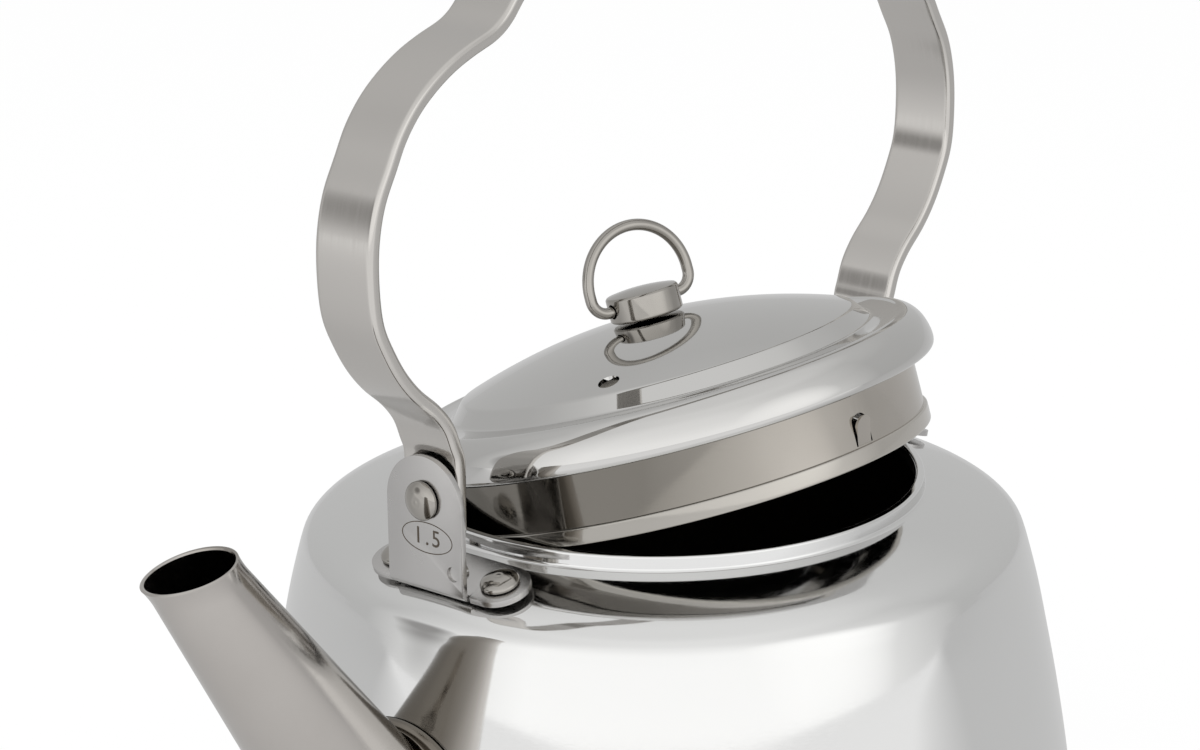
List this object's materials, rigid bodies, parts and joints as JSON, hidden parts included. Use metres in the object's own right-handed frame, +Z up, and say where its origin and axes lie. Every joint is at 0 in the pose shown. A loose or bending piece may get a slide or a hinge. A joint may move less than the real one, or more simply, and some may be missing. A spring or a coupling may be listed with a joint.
{
  "type": "kettle",
  "caption": "Stainless steel camping kettle with a tapered spout, a swinging bail handle and a loose plug lid whose knob carries a ring.",
  "frame": {"origin": "centre of the flat bottom, on the surface it stands on", "axes": "+Z up, -X towards the spout; the handle swings about an axis along X"},
  "size_m": [0.2059, 0.1552, 0.2092],
  "materials": {
    "polished_steel": "polished, with fine scratches and smudges",
    "satin_steel": "rolled and deburred, satin"
  },
  "bodies": {
    "kettle": {"body": "polished_steel", "basePan": "polished_steel", "spout": "polished_steel", "earFront": "satin_steel", "earBack": "satin_steel", "footRivetFront1": "polished_steel", "footRivetFront2": "polished_steel", "footRivetBack1": "polished_steel", "footRivetBack2": "polished_steel", "pivotRivetFront": "polished_steel", "pivotRivetBack": "polished_steel"},
    "handle": {"handle": "satin_steel"},
    "lid": {"lidCover": "polished_steel", "lidSkirt": "polished_steel", "knob": "polished_steel", "knobScrew": "polished_steel"},
    "ring": {"knobRing": "polished_steel"}
  },
  "joints": [
    {"name": "handleSwing", "type": "hinge", "parent": "kettle", "child": "handle", "pos_m": [0, 0, 0.1107], "axis": [1, 0, 0], "range_deg": [-95, 95]},
    {"name": "lidLift", "type": "slide", "parent": "kettle", "child": "lid", "axis": [0, 0, 1], "range_m": [0, 0.03]},
    {"name": "ringSwing", "type": "hinge", "parent": "lid", "child": "ring", "pos_m": [-0.00087, 0.00314, 0.13116], "axis": [0.9435, -0.3039, 0.1319], "range_deg": [-98, 98]}
  ]
}
